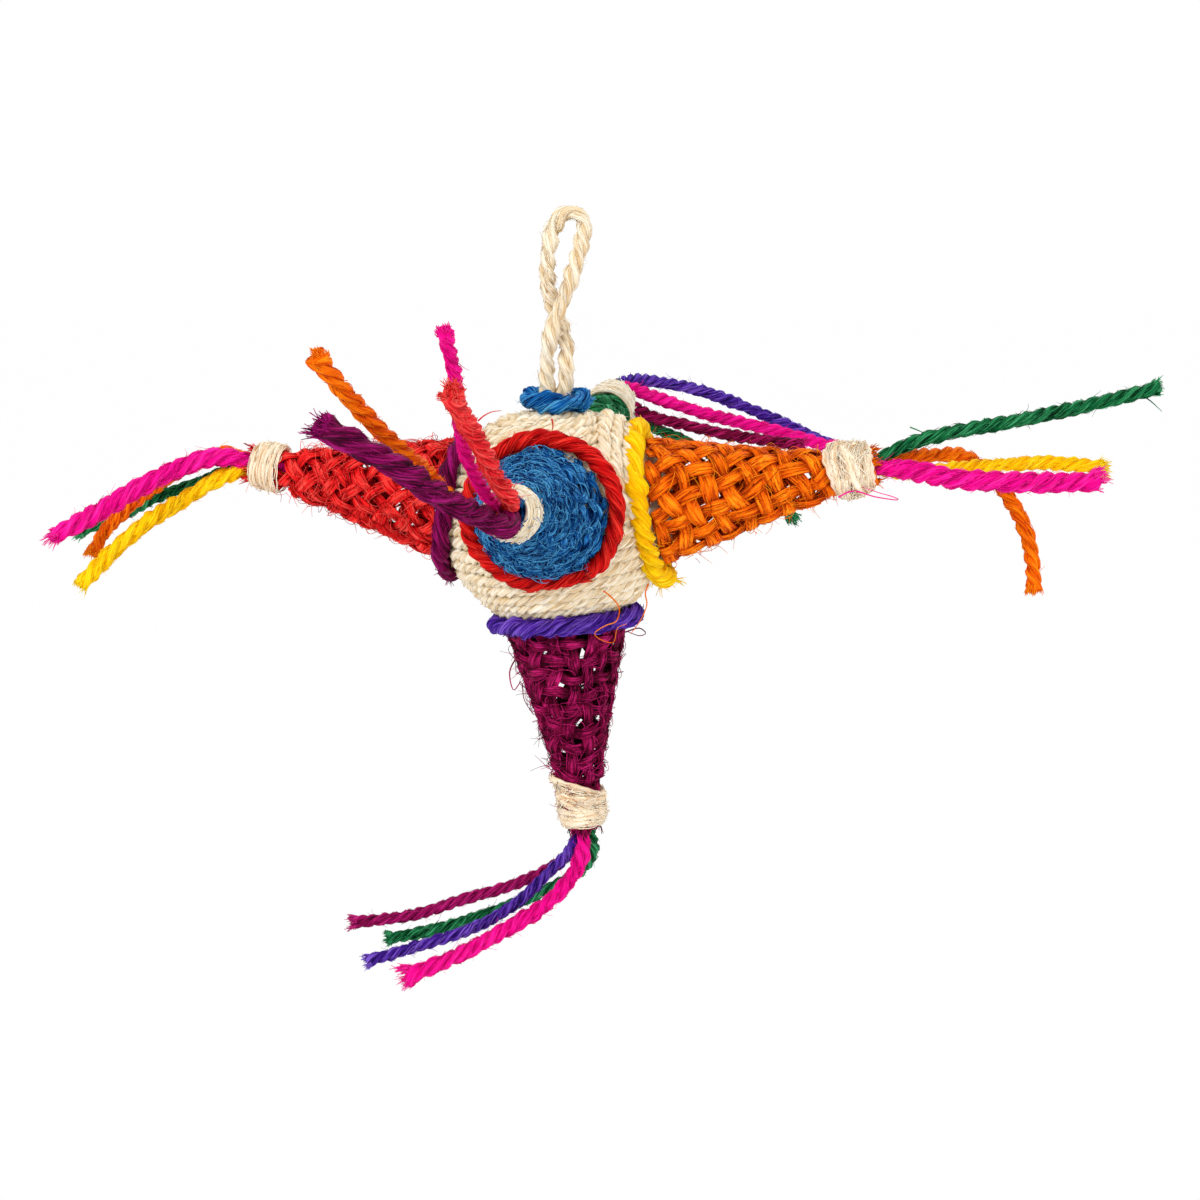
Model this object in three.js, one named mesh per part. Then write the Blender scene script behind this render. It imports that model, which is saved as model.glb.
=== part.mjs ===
// Folk star ornament of dyed sisal: a twine-wound ball carries five hollow cones of woven cloth, each
// tip is bound with raw fibre round four tassel cords, and a loop leaves the ball through a collar.
// Millimetres, +Z up. The front cone points along -Y. The origin is where a hook bears under the
// loop's crown.
import * as THREE from "three";

const { clamp, degToRad, lerp } = THREE.MathUtils;

// Fits
const GAP = 0.3; // between pieces that touch on the real ornament
const TURN_GAP = 0.46; // between neighbouring turns of one winding
const END_GAP = 0.5; // between the two cut ends of a twine ring

// Ball
const BALL_RADIUS = 18.5; // over its twine
const BALL_TWINE = 2.0;
const CORE_CLEARANCE = 0.5; // core to twine, which dips between its steps
const TOP_PRESS = 1.2; // how far the ball's top is pressed in under the collar

// Twine rings and hanging loop
const RING_TWINE = 2.7;
const LOOP_TWINE = 2.4;
const LEG_DEPTH = 6; // loop's legs below the ball's top

// Cones, measured out from the ball's centre
const TIP_REACH = 51;
const CONE_BASE_RADIUS = 9.9;
const CLOTH = 0.6;
const WAIST_RADIUS = 4.5;
const WAIST_TO_MOUTH = 13;
const SHOULDER_RADIUS = 3.8;
const SHOULDER_LENGTH = 0.8;
const NECK_RADIUS = 3.0;
const NECK_LENGTH = 7.6;
const MOUTH_RADIUS = 2.4;

// Tip whippings
const WHIP_STRAND = 0.8;
const WHIP_LIP = 1.2; // cloth left showing past the whipping

// Tassel cords
const FINE_CORD = 2.1;
const MEDIUM_CORD = 2.5;
const THICK_CORD = 3.1;
const ROOT_GIRTH = 1.0; // a cord squeezed under its whipping
const ROOT_DEPTH = 7.5;
const SWELL_LENGTH = 6; // past the mouth, until a cord has its full girth

// Facets
const BALL_STEPS = 24;
const BALL_SIDES = 6;
const WHIP_STEPS = 12;
const WHIP_SIDES = 5;
const RING_STEPS = 24;
const LATHE_STEPS = 20;
const CORE_RINGS = 12;
const CORD_SIDES = 8;
const CORD_STEP = 3.6;
const LOOP_STEP = 2.4;

const DYES = {
  natural: 0xf0e2c4,
  raw: 0xe8d3a4,
  core: 0xcdb98c,
  red: 0xd7191e,
  blue: 0x2a78b0,
  orange: 0xe45f05,
  yellow: 0xfacd05,
  magenta: 0xea0c93,
  pink: 0xf0148f,
  plum: 0x6b1248,
  violet: 0x4b2396,
  green: 0x0f693c,
  coral: 0xe13c32,
};

// Each cone's compass heading from +X and its rise above level, in degrees. The tassels' points are in
// the tip's own frame, with x down, y to the side and z straight out of the mouth.
const SPIKES = [
  {
    name: "front",
    heading: -87.5,
    rise: 10.5,
    cloth: "blue",
    ring: "red",
    tassel: [
      { dye: "coral", girth: MEDIUM_CORD, root: 140,
        points: [[-2, 1.5, 6], [-4.5, 0.5, 12], [-8, 0, 20], [-11, -0.5, 29], [-13.5, -0.5, 38]] },
      { dye: "plum", girth: THICK_CORD, root: 50,
        points: [[2, 1, 6.5], [0.5, -1.5, 12.5], [-1.5, -4.5, 21], [-5, -8.5, 29.5], [-9.5, -16, 38]] },
      { dye: "orange", girth: MEDIUM_CORD, root: -40,
        points: [[1, -2.5, 5.5], [-1, -5, 10], [-4.5, -7.5, 16], [-7.5, -9.5, 24.5], [-12, -13, 31.5],
          [-17.5, -16.5, 39]] },
      { dye: "pink", girth: FINE_CORD, root: -130,
        points: [[-2, -1.5, 5.5], [-4.5, -2.5, 9.5], [-7.5, -3, 14.5], [-11, -2.5, 21.5], [-16, -2, 27.5],
          [-21, -2, 35]] },
    ],
  },
  {
    name: "right",
    heading: 1.5,
    rise: 10.4,
    cloth: "orange",
    ring: "yellow",
    tassel: [
      { dye: "green", girth: MEDIUM_CORD, root: 190,
        points: [[-2.5, 0, 6], [-3, 1, 12], [-3, 3, 22], [-3, 7, 33], [-3.5, 11, 45]] },
      { dye: "orange", girth: MEDIUM_CORD, root: 105,
        points: [[0, 3, 5], [1, 7, 10], [2.5, 10, 14], [6, 12, 17.5], [10.5, 11.5, 20], [14.5, 9.5, 21.5],
          [19.5, 7, 22], [24.5, 4.5, 21.5]] },
      { dye: "yellow", girth: FINE_CORD, root: 20,
        points: [[2, 1, 5.5], [3, 3.5, 12.5], [4, 6, 20], [5, 7, 27], [7, 6.5, 34.5]] },
      { dye: "magenta", girth: THICK_CORD, root: -70,
        points: [[1.5, -2.5, 6], [3.5, -4.5, 12.5], [5, -4.5, 19.5], [6.5, -3, 26.5], [7.5, -1.5, 33]] },
    ],
  },
  {
    name: "back",
    heading: 88,
    rise: 15.3,
    cloth: "green",
    ring: "green",
    tassel: [
      { dye: "violet", girth: FINE_CORD, root: 135,
        points: [[-0.5, 0.5, 4.5], [0.5, -2.5, 9.5], [3, -8, 14], [6, -14.5, 17.5], [10.5, -24, 19],
          [16, -37, 18]] },
      { dye: "pink", girth: MEDIUM_CORD, root: -135,
        points: [[0, -1.5, 4.5], [3, -5.5, 8], [7, -13, 11], [10, -20.5, 13.5], [12, -28.5, 13.5],
          [14.5, -38, 13]] },
      { dye: "plum", girth: FINE_CORD, root: -45,
        points: [[2.5, -1.5, 3.5], [6, -5.5, 5.5], [8, -12, 6.5], [10, -18.5, 7.5], [11, -25.5, 7.5],
          [11.5, -33, 6.5]] },
      { dye: "green", girth: FINE_CORD, root: 45,
        points: [[2.5, 1, 4.5], [6.5, -1.5, 6.5], [9.5, -7.5, 6.5], [12, -14.5, 5], [14.5, -21.5, 2.5],
          [18, -28.5, -1.5], [21.5, -32.5, -3.5]] },
    ],
  },
  {
    name: "left",
    heading: 180,
    rise: 8.1,
    cloth: "red",
    ring: "plum",
    tassel: [
      { dye: "magenta", girth: THICK_CORD, root: 130,
        points: [[-0.5, 2.5, 6], [2, 5, 11], [5.5, 9, 16], [9.5, 12.5, 20.5], [13.5, 16.5, 26]] },
      { dye: "yellow", girth: THICK_CORD, root: 35,
        points: [[3.5, 1.5, 5.5], [6.5, 4, 9], [10, 9.5, 13], [14.5, 14, 16.5], [20.5, 17.5, 20.5]] },
      { dye: "green", girth: FINE_CORD, root: -50,
        points: [[2.5, -2, 5], [5.5, -3, 10], [8.5, -2.5, 16], [12.5, -1, 22], [16, 1.5, 28]] },
      { dye: "orange", girth: FINE_CORD, root: -140,
        points: [[-0.5, -1.5, 6], [2.5, -1, 11], [6.5, 1, 16], [10.5, 4, 19.5], [14, 7, 21.5],
          [17, 9.5, 22]] },
    ],
  },
  {
    name: "bottom",
    heading: -38,
    rise: -83,
    cloth: "plum",
    ring: "violet",
    tassel: [
      { dye: "plum", girth: FINE_CORD, root: 45,
        points: [[2.5, 0, 4], [6, -2.5, 7], [10.5, -8, 9.5], [15.5, -14, 11], [21.5, -21, 13],
          [27, -28.5, 13]] },
      { dye: "violet", girth: FINE_CORD, root: -45,
        points: [[1.5, -2.5, 4], [3.5, -5.5, 7], [5.5, -10, 10.5], [8.5, -15.5, 13.5], [14.5, -22.5, 16],
          [21, -30.5, 18]] },
      { dye: "pink", girth: THICK_CORD, root: -135,
        points: [[-1.5, -2.5, 4.5], [-1, -5.5, 8], [1, -10, 11.5], [4.5, -16, 14.5], [7.5, -22.5, 17],
          [12.5, -29, 19.5]] },
      { dye: "green", girth: FINE_CORD, root: 135,
        points: [[0, 1.5, 4.5], [3, 1, 8], [7.5, -2.5, 11], [12.5, -9, 13.5], [18, -16.5, 15.5],
          [24, -24, 16.5]] },
    ],
  },
];

// Loop's free line above the ball's top, from its right leg over the crown to its left leg. The legs
// cross once, with the second in front.
const LOOP_CROWN = [2.3, 0, 29.4];
const LOOP_RISE = [[1.5, 0.5, 5.5], [1.3, 1.2, 9], [0.3, 1.5, 12], [-0.8, 1.1, 15], [-1.4, 0.4, 19],
  [-1.1, 0, 24], [-0.2, 0, 27.5]];
const LOOP_FALL = [[4.4, 0, 28], [4.2, 0, 25], [3.4, -0.4, 22], [2.4, -1, 18.5], [1.2, -1.4, 15.4],
  [-0.1, -1.4, 12.3], [-1, -1.1, 8.5], [-1.4, -0.4, 5.5]];

// Places that follow from the sizes
const LEG_OFFSET = (LOOP_TWINE + GAP) / 2;
const LEGS_REACH = LEG_OFFSET + LOOP_TWINE / 2 + GAP;
const COLLAR_RADIUS = LEGS_REACH + RING_TWINE / 2;
const RING_RADIUS = CONE_BASE_RADIUS + GAP + RING_TWINE / 2;
const RING_SEAT = BALL_RADIUS + GAP + RING_TWINE / 2; // ball's centre to a ring's twine
const CONE_BASE = Math.sqrt((BALL_RADIUS + GAP) ** 2 - (CONE_BASE_RADIUS - CLOTH) ** 2);
const NECK_START = TIP_REACH - NECK_LENGTH;
const ROOT_OFFSET = MOUTH_RADIUS - CLOTH - GAP - ROOT_GIRTH / 2;

const vector = ([x, y, z]) => new THREE.Vector3(x, y, z);

// How far the ball lies in from a true sphere, by the angle from its top
const pressedIn = (polar) => TOP_PRESS * Math.max(Math.cos(polar), 0) ** 6;

function piece(name, geometry, dye) {
  const material = new THREE.MeshStandardMaterial({ color: DYES[dye], roughness: 0.9, metalness: 0 });
  const mesh = new THREE.Mesh(geometry, material);
  mesh.name = name;
  return mesh;
}

// Solid of revolution about Z from [radius, height] corners
function turned(corners, steps) {
  const profile = corners.map(([radius, height]) => new THREE.Vector2(radius, height));
  return new THREE.LatheGeometry(profile, steps).rotateX(Math.PI / 2);
}

// Closed tube of one diameter round a line of centres. Each section is a regular polygon square to the
// line, with its first corner turned outwards, and a fan closes both ends.
function woundTube(line, diameter, sides) {
  const corners = [];
  const faces = [];
  line.forEach(({ centre, outward }, step) => {
    const before = line[Math.max(step - 1, 0)].centre;
    const after = line[Math.min(step + 1, line.length - 1)].centre;
    const along = after.clone().sub(before).normalize();
    const across = along.clone().cross(outward).normalize();
    const radial = across.clone().cross(along);
    for (let side = 0; side < sides; side++) {
      const turn = (2 * Math.PI * side) / sides;
      const corner = centre.clone().addScaledVector(radial, (diameter / 2) * Math.cos(turn));
      corner.addScaledVector(across, (diameter / 2) * Math.sin(turn));
      corners.push(...corner.toArray());
    }
  });
  const last = (line.length - 1) * sides;
  for (let ring = 0; ring < last; ring += sides) {
    for (let side = 0; side < sides; side++) {
      const here = ring + side;
      const next = ring + ((side + 1) % sides);
      faces.push(here, next, next + sides, here, next + sides, here + sides);
    }
  }
  for (let side = 1; side < sides - 1; side++) {
    faces.push(0, side + 1, side, last, last + side, last + side + 1);
  }
  const geometry = new THREE.BufferGeometry();
  geometry.setAttribute("position", new THREE.Float32BufferAttribute(corners, 3));
  geometry.setIndex(faces);
  return geometry;
}

// Least clear distance between a wound tube's turns: points at least half a turn apart on its line
function leastGap(line, diameter, stepsPerTurn) {
  let least = Infinity;
  line.forEach(({ centre }, step) => {
    for (let other = step + stepsPerTurn / 2; other < line.length; other++) {
      least = Math.min(least, centre.distanceTo(line[other].centre) - diameter);
    }
  });
  return least;
}

function report(name, turns, line, diameter, stepsPerTurn) {
  const gap = leastGap(line, diameter, stepsPerTurn).toFixed(2);
  console.log(`${name}: ${turns.toFixed(1)} turns, least gap to itself ${gap} mm`);
}

// Spherical spiral, wound from the loop's legs down to the lower pole at a steady pitch
function ballWinding() {
  const radius = BALL_RADIUS - BALL_TWINE / 2;
  const start = Math.asin((LEGS_REACH + BALL_TWINE / 2) / (radius - TOP_PRESS));
  const sweep = Math.PI - 2 * start;
  const turns = (sweep * radius) / (BALL_TWINE + TURN_GAP);
  const steps = Math.round(turns * BALL_STEPS);
  const line = [];
  for (let step = 0; step <= steps; step++) {
    const polar = lerp(start, start + sweep, step / steps);
    const turn = (2 * Math.PI * turns * step) / steps;
    const outward = new THREE.Vector3().setFromSphericalCoords(1, polar, turn);
    outward.set(outward.z, outward.x, outward.y);
    line.push({ centre: outward.clone().multiplyScalar(radius - pressedIn(polar)), outward });
  }
  report("ball winding", turns, line, BALL_TWINE, BALL_STEPS);
  return woundTube(line, BALL_TWINE, BALL_SIDES);
}

// Foam core with a blind hole for the loop's legs
function ballCore() {
  const radius = BALL_RADIUS - BALL_TWINE - CORE_CLEARANCE;
  const mouth = Math.asin(LEGS_REACH / (radius - TOP_PRESS));
  const corners = [[0, BALL_RADIUS - LEG_DEPTH - GAP], [LEGS_REACH, BALL_RADIUS - LEG_DEPTH - GAP]];
  for (let ring = 0; ring <= CORE_RINGS; ring++) {
    const polar = lerp(mouth, Math.PI, ring / CORE_RINGS);
    const reach = radius - pressedIn(polar);
    corners.push([reach * Math.sin(polar), reach * Math.cos(polar)]);
  }
  corners.at(-1)[0] = 0;
  return turned(corners.reverse(), LATHE_STEPS);
}

// Ring of twine lying on the ball, cut where its two ends meet
function twineRing(radius, sunk = 0) {
  const height = Math.sqrt(RING_SEAT ** 2 - radius ** 2) - sunk;
  const sweep = 2 * Math.PI - END_GAP / radius;
  const line = [];
  for (let step = 0; step <= RING_STEPS; step++) {
    const turn = (sweep * step) / RING_STEPS;
    const outward = new THREE.Vector3(Math.cos(turn), Math.sin(turn), 0);
    const centre = outward.clone().multiplyScalar(radius).setZ(height);
    line.push({ centre, outward });
  }
  return woundTube(line, RING_TWINE, BALL_SIDES);
}

// Hollow cone of cloth: wide base on the ball, slim waist, then a neck drawn in under the whipping
function clothCone() {
  const outside = [
    [CONE_BASE_RADIUS, CONE_BASE],
    [WAIST_RADIUS, TIP_REACH - WAIST_TO_MOUTH],
    [SHOULDER_RADIUS, NECK_START - SHOULDER_LENGTH],
    [NECK_RADIUS, NECK_START],
    [MOUTH_RADIUS, TIP_REACH],
  ];
  const inside = outside.map(([radius, height]) => [radius - CLOTH, height]).reverse();
  return turned([...outside, ...inside, outside[0]], LATHE_STEPS);
}

// Helix of raw fibre round the tapering neck
function tipWhipping(name) {
  const first = NECK_START + GAP + WHIP_STRAND / 2;
  const last = TIP_REACH - WHIP_LIP - WHIP_STRAND / 2;
  const turns = (last - first) / (WHIP_STRAND + TURN_GAP);
  const steps = Math.round(turns * WHIP_STEPS);
  const line = [];
  for (let step = 0; step <= steps; step++) {
    const turn = (2 * Math.PI * turns * step) / steps;
    const height = lerp(first, last, step / steps);
    const neck = lerp(NECK_RADIUS, MOUTH_RADIUS, (height - NECK_START) / NECK_LENGTH);
    const outward = new THREE.Vector3(Math.cos(turn), Math.sin(turn), 0);
    const centre = outward.clone().multiplyScalar(neck + GAP + WHIP_STRAND / 2).setZ(height);
    line.push({ centre, outward });
  }
  const ends = [[line[0], line[1]], [line.at(-1), line.at(-2)]].map(([end, next]) => {
    const away = end.centre.clone().sub(next.centre).setLength(WHIP_STRAND);
    return { centre: end.centre.clone().add(away), outward: end.outward };
  });
  const whole = [ends[0], ...line, ends[1]];
  report(name, turns, whole, WHIP_STRAND, WHIP_STEPS);
  return woundTube(whole, WHIP_STRAND, WHIP_SIDES);
}

// Round cord of one girth along a curve
function cordAlong(path, girth, steps) {
  const section = new THREE.Shape();
  section.absarc(0, 0, girth / 2, 0, 2 * Math.PI);
  const corners = section.getSpacedPoints(CORD_SIDES).slice(0, CORD_SIDES);
  const settings = { steps, bevelEnabled: false, extrudePath: path };
  return new THREE.ExtrudeGeometry(new THREE.Shape(corners), settings);
}

// Tassel cord: squeezed inside the neck, swelling to its girth past the mouth, and free from there
function tasselCord({ girth, root, points }) {
  const turn = degToRad(root);
  const held = [-ROOT_DEPTH, -ROOT_DEPTH / 2, 0].map((height) =>
    new THREE.Vector3(ROOT_OFFSET * Math.cos(turn), ROOT_OFFSET * Math.sin(turn), height));
  const path = new THREE.CatmullRomCurve3([...held, ...points.map(vector)]);
  const steps = Math.ceil(path.getLength() / CORD_STEP);
  const geometry = cordAlong(path, girth, steps);
  const centres = path.getSpacedPoints(steps);
  const corners = geometry.getAttribute("position");
  const corner = new THREE.Vector3();
  for (let index = 0; index < corners.count; index++) {
    corner.fromBufferAttribute(corners, index);
    const distances = centres.map((centre) => corner.distanceTo(centre));
    const ring = distances.indexOf(Math.min(...distances));
    const past = (path.getLength() * ring) / steps - ROOT_DEPTH;
    const share = lerp(ROOT_GIRTH / girth, 1, clamp(past / SWELL_LENGTH, 0, 1));
    corner.lerpVectors(centres[ring], corner, share);
    corners.setXYZ(index, corner.x, corner.y, corner.z);
  }
  return geometry;
}

// Hanging loop with both legs sunk in the core, in the frame of the ball's top
function hangingLoop() {
  const leg = (side) => [1, 0.5, 0].map((share) => [side * LEG_OFFSET, 0, -LEG_DEPTH * share]);
  const line = [...leg(1), ...LOOP_RISE, LOOP_CROWN, ...LOOP_FALL, ...leg(-1).reverse()];
  const path = new THREE.CatmullRomCurve3(line.map(vector));
  return cordAlong(path, LOOP_TWINE, Math.ceil(path.getLength() / LOOP_STEP));
}

// One cone with its ring, whipping and tassel, turned so that +Z runs out along the cone
function spike({ name, heading, rise, cloth, ring, tassel }) {
  const group = new THREE.Group();
  group.rotation.set(0, degToRad(90 - rise), degToRad(heading), "ZYX");
  group.add(piece(`cone_${name}`, clothCone(), cloth));
  group.add(piece(`base_ring_${name}`, twineRing(RING_RADIUS), ring));
  group.add(piece(`tip_whipping_${name}`, tipWhipping(`tip whipping ${name}`), "raw"));
  const mouth = new THREE.Group();
  mouth.position.z = TIP_REACH;
  for (const cord of tassel) {
    mouth.add(piece(`cord_${name}_${cord.dye}`, tasselCord(cord), cord.dye));
  }
  group.add(mouth);
  return group;
}

const ball = new THREE.Group();
ball.position.set(-LOOP_CROWN[0], -LOOP_CROWN[1], LOOP_TWINE / 2 - LOOP_CROWN[2] - BALL_RADIUS);
ball.add(piece("core_ball", ballCore(), "core"));
ball.add(piece("ball_winding", ballWinding(), "natural"));
const collarPress = pressedIn(Math.asin(COLLAR_RADIUS / RING_SEAT));
ball.add(piece("loop_collar", twineRing(COLLAR_RADIUS, collarPress), "blue"));
ball.add(...SPIKES.map(spike));

const loop = piece("hanging_loop", hangingLoop(), "natural");
loop.position.z = BALL_RADIUS;
ball.add(loop);

const ornament = new THREE.Group();
ornament.add(ball);

export default ornament;
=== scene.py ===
"""Star ornament of dyed sisal: a ball wound with twine, five woven cones, whipped tips and cord tassels.

Shapes are worked out in millimetres in the part's own frame and put into their meshes in metres.
"""

import bpy
import numpy as np
from mathutils import Matrix


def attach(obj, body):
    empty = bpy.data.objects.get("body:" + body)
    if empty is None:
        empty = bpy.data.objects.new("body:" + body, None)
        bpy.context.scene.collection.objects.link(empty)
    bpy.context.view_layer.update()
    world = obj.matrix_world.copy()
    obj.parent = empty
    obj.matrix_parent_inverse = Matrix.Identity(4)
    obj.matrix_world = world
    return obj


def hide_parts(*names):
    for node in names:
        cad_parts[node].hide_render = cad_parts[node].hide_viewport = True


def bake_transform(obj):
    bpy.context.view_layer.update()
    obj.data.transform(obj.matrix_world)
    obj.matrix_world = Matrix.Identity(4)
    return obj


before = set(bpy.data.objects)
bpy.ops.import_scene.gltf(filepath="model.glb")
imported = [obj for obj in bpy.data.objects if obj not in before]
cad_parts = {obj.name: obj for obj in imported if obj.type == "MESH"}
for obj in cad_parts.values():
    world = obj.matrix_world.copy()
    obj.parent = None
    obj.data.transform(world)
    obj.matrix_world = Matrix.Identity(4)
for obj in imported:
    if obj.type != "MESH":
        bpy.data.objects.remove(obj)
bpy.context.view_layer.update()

MM = 0.001
TAU = 2 * np.pi

# Sizes shared with the part's source
BALL = np.array([-2.3, 0.0, -46.7])
BALL_RADIUS, BALL_TWINE, TOP_PRESS = 18.5, 2.0, 1.2
BALL_TOP = BALL + [0, 0, BALL_RADIUS]
RING_RADIUS, RING_SEAT = 11.55, 20.15
COLLAR_RADIUS = 4.2
LOOP_TWINE, LEG_OFFSET, LEG_DEPTH = 2.4, 1.35, 6.0
TIP_REACH = 51.0
ROOT_OFFSET, ROOT_DEPTH, SWELL_LENGTH = 1.0, 7.5, 6.0
FINE, MEDIUM, THICK = 2.1, 2.5, 3.1
CONE_PROFILE = np.array([[9.9, 16.34], [4.5, 38.0], [3.8, 42.6], [3.0, 43.4], [2.4, 51.0]])

# The photograph's camera: degrees round and above, and its distance from the ball's middle. Then, in pixels,
# where the ball's middle falls across and down, the picture's width and its middle, and the focal length
CAMERA_ROUND, CAMERA_ABOVE, CAMERA_DISTANCE = 9.25, 12.4, 330
BALL_ACROSS, BALL_DOWN, PICTURE, PICTURE_MIDDLE, FOCAL = 557, 516, 1200, 600, 2062.5
SENSOR = 36

# Steps of a smooth line between two given points, distance between the points of a cord's line, and points
# along a single fibre
SPAN_STEPS, CORD_STEP, FIBRE_POINTS = 50, 0.3, 6
# Distance over which a ply swells and shrinks, length of a ridge on it, and how dark the painted shade in its
# groove is
PLY_SPELL, RIDGE_LENGTH, GROOVE_SHADE = 7, 2, 0.45
# Half the angle that fibres facing outwards keep to, and how far a fibre drifts from its ply, in radians
FACING, DRIFT = 1.3, 0.4
# Least gap between two rings of a tube, and span of random places on the fibre map. On the bake map, the room
# for the strips, a hair more than they need, and each strip's margin and filled share
LEAST_GAP, MAP_SPAN, STRIP_ROOM, STRIP_MARGIN, STRIP_FILL = 1e-6, 300, 1.0001, 0.04, 0.92
# Fibres in a tuft of a cut end, and a direction that no cord's end follows
TUFT, ASKEW = 8, [0.31, 0.52, 0.79]
# A tassel cord starts to swell this far inside the mouth, its end changes over this length, and this many
# points back it still has its plain width
SWELL_LEAD, END_LENGTH, PLAIN_POINTS = 2, 4, 40

# Heading and rise of each cone in degrees, then its tassel: dye, girth, look, root angle and free points in
# the tip's frame, x down, y to the side, z out of the mouth. A look is how much fuller than its girth the
# twine lies, how far its end flares or tapers, how long its end fibres are and its lay in girths
SPIKES = {
    "front": (-87.5, 10.5, [
        ("coral", MEDIUM, (1.01, 0.22, 1.5, 3.5), 140,
         [[-2, 1.5, 6], [-4.5, 0.5, 12], [-8, 0, 20], [-11, -0.5, 29], [-13.5, -0.5, 38]]),
        ("plum", THICK, (1.06, 0.1, 1.6, 3.9), 50,
         [[2, 1, 6.5], [0.5, -1.5, 12.5], [-1.5, -4.5, 21], [-5, -8.5, 29.5], [-9.5, -16, 38]]),
        ("orange", MEDIUM, (0.9, 0.4, 0.4, 2.9), -40,
         [[1, -2.5, 5.5], [-1, -5, 10], [-4.5, -7.5, 16], [-7.5, -9.5, 24.5], [-12, -13, 31.5],
          [-17.5, -16.5, 39]]),
        ("pink", FINE, (0.87, 0.2, 0.4, 2.7), -130,
         [[-2, -1.5, 5.5], [-4.5, -2.5, 9.5], [-7.5, -3, 14.5], [-11, -2.5, 21.5], [-16, -2, 27.5],
          [-21, -2, 35]]),
    ]),
    "right": (1.5, 10.4, [
        ("green", MEDIUM, (0.9, 0.16, 0.8, 2.7), 190,
         [[-2.5, 0, 6], [-3, 1, 12], [-3, 3, 22], [-3, 7, 33], [-3.5, 11, 45]]),
        ("orange", MEDIUM, (0.98, 0.05, 0.6, 2.8), 105,
         [[0, 3, 5], [1, 7, 10], [2.5, 10, 14], [6, 12, 17.5], [10.5, 11.5, 20], [14.5, 9.5, 21.5],
          [19.5, 7, 22], [24.5, 4.5, 21.5]]),
        ("yellow", FINE, (1.1, 0.1, 1.7, 2.8), 20,
         [[2, 1, 5.5], [3, 3.5, 12.5], [4, 6, 20], [5, 7, 27], [7, 6.5, 34.5]]),
        ("magenta", THICK, (1.04, 0.16, 2.2, 2.5), -70,
         [[1.5, -2.5, 6], [3.5, -4.5, 12.5], [5, -4.5, 19.5], [6.5, -3, 26.5], [7.5, -1.5, 33]]),
    ]),
    "back": (88, 15.3, [
        ("violet", FINE, (1.12, 0.1, 1.4, 2.8), 135,
         [[-0.5, 0.5, 4.5], [0.5, -2.5, 9.5], [3, -8, 14], [6, -14.5, 17.5], [10.5, -24, 19],
          [16, -37, 18]]),
        ("pink", MEDIUM, (0.98, 0.1, 1.4, 2.7), -135,
         [[0, -1.5, 4.5], [3, -5.5, 8], [7, -13, 11], [10, -20.5, 13.5], [12, -28.5, 13.5],
          [14.5, -38, 13]]),
        ("plum", FINE, (1.06, 0.1, 1.4, 2.8), -45,
         [[2.5, -1.5, 3.5], [6, -5.5, 5.5], [8, -12, 6.5], [10, -18.5, 7.5], [11, -25.5, 7.5],
          [11.5, -33, 6.5]]),
        ("green", FINE, (1.02, 0.1, 1.4, 2.8), 45,
         [[2.5, 1, 4.5], [6.5, -1.5, 6.5], [9.5, -7.5, 6.5], [12, -14.5, 5], [14.5, -21.5, 2.5],
          [18, -28.5, -1.5], [21.5, -32.5, -3.5]]),
    ]),
    "left": (180, 8.1, [
        ("magenta", THICK, (1.02, -0.2, 2.0, 2.6), 130,
         [[-0.5, 2.5, 6], [2, 5, 11], [5.5, 9, 16], [9.5, 12.5, 20.5], [13.5, 16.5, 26]]),
        ("yellow", THICK, (0.85, -0.12, 0.6, 2.7), 35,
         [[3.5, 1.5, 5.5], [6.5, 4, 9], [10, 9.5, 13], [14.5, 14, 16.5], [20.5, 17.5, 20.5]]),
        ("green", FINE, (1.02, 0.1, 1.2, 2.8), -50,
         [[2.5, -2, 5], [5.5, -3, 10], [8.5, -2.5, 16], [12.5, -1, 22], [16, 1.5, 28]]),
        ("orange", FINE, (1.08, 0.3, 1.2, 2.8), -140,
         [[-0.5, -1.5, 6], [2.5, -1, 11], [6.5, 1, 16], [10.5, 4, 19.5], [14, 7, 21.5], [17, 9.5, 22]]),
    ]),
    "bottom": (-38, -83, [
        ("plum", FINE, (0.93, 0.1, 1.0, 2.8), 45,
         [[2.5, 0, 4], [6, -2.5, 7], [10.5, -8, 9.5], [15.5, -14, 11], [21.5, -21, 13], [27, -28.5, 13]]),
        ("violet", FINE, (0.91, 0.15, 0.8, 2.5), -45,
         [[1.5, -2.5, 4], [3.5, -5.5, 7], [5.5, -10, 10.5], [8.5, -15.5, 13.5], [14.5, -22.5, 16],
          [21, -30.5, 18]]),
        ("pink", THICK, (0.84, 0.5, 2.2, 2.3), -135,
         [[-1.5, -2.5, 4.5], [-1, -5.5, 8], [1, -10, 11.5], [4.5, -16, 14.5], [7.5, -22.5, 17],
          [12.5, -29, 19.5]]),
        ("green", FINE, (0.98, 0.15, 0.6, 2.5), 135,
         [[0, 1.5, 4.5], [3, 1, 8], [7.5, -2.5, 11], [12.5, -9, 13.5], [18, -16.5, 15.5], [24, -24, 16.5]]),
    ]),
}

# Loop's free line above the ball's top, from its right leg over the crown to its left leg
LOOP_LINE = [[1.5, 0.5, 5.5], [1.3, 1.2, 9], [0.3, 1.5, 12], [-0.8, 1.1, 15], [-1.4, 0.4, 19], [-1.1, 0, 24],
             [-0.2, 0, 27.5], [2.3, 0, 29.4], [4.4, 0, 28], [4.2, 0, 25], [3.4, -0.4, 22], [2.4, -1, 18.5],
             [1.2, -1.4, 15.4], [-0.1, -1.4, 12.3], [-1, -1.1, 8.5], [-1.4, -0.4, 5.5]]


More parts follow.
